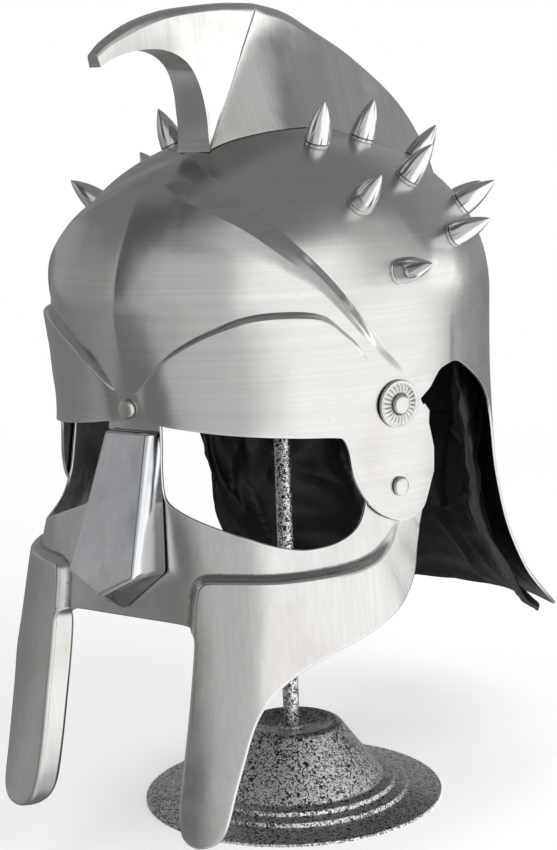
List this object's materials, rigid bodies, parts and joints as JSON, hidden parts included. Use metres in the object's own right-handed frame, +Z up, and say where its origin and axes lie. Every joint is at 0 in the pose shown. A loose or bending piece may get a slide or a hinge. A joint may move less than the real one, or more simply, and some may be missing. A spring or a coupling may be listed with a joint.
{
  "type": "gladiator helmet on a stand",
  "caption": "Steel gladiator helmet with a curved crest, spikes, brow plate, nose guard, cheek pieces, flared neck guard and leather lining, on a round-footed rod stand.",
  "frame": {"origin": "centre of the stand's underside, on the rod's axis, at the floor", "axes": "+Z up along the rod, -Y the way the helmet faces, +X its wearer's left"},
  "size_m": [0.237, 0.3449, 0.4172],
  "materials": {
    "brushed_steel": "satin sheet steel with a fine brushed grain",
    "polished_steel": "polished steel",
    "nickel": "satin nickel-plated rivets and rosettes",
    "leather": "soft black leather",
    "hammered_paint": "silver and black hammered paint"
  },
  "bodies": {
    "root": {"bowl": "brushed_steel", "brow_plate": "brushed_steel", "face_guard": "brushed_steel", "crest": "polished_steel", "nose_guard": "polished_steel", "head_liner": "leather", "neck_lining": "leather", "brow_rivet": "nickel", "stand_foot": "hammered_paint", "stand_rod": "hammered_paint", "jaw_rivet_left": "nickel", "rosette_left": "nickel", "rosette_rivet_left": "nickel", "spike_left_1": "polished_steel", "spike_left_2": "polished_steel", "spike_left_3": "polished_steel", "spike_left_4": "polished_steel", "spike_left_5": "polished_steel", "spike_left_6": "polished_steel", "spike_left_7": "polished_steel", "spike_left_8": "polished_steel", "spike_left_9": "polished_steel", "jaw_rivet_right": "nickel", "rosette_right": "nickel", "rosette_rivet_right": "nickel", "spike_right_1": "polished_steel", "spike_right_2": "polished_steel", "spike_right_3": "polished_steel", "spike_right_4": "polished_steel", "spike_right_5": "polished_steel", "spike_right_6": "polished_steel", "spike_right_7": "polished_steel", "spike_right_8": "polished_steel", "spike_right_9": "polished_steel"}
  },
  "joints": []
}
